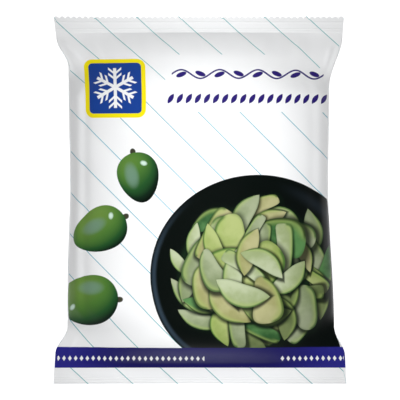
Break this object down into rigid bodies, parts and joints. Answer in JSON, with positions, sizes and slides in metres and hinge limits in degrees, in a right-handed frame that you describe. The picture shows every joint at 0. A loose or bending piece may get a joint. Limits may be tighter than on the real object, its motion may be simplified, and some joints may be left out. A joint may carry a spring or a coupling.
{
  "type": "sealed frozen food bag",
  "caption": "Full pillow pack of white printed film for frozen cut fruit, lying face up, with flat end seals, a zigzag top edge, drawn-in sides and a fin seal folded flat on its back.",
  "frame": {"origin": "middle of the pack's outline, on the surface that it lies on", "axes": "+Y to the zigzag end, which is the top of the printed face; +X to the right of someone who reads that face; +Z out of the printed face"},
  "size_m": [0.18, 0.226, 0.041],
  "materials": {
    "printed_film": "satin white film with a printed face"
  },
  "bodies": {
    "root": {"pouch": "printed_film"}
  },
  "joints": []
}
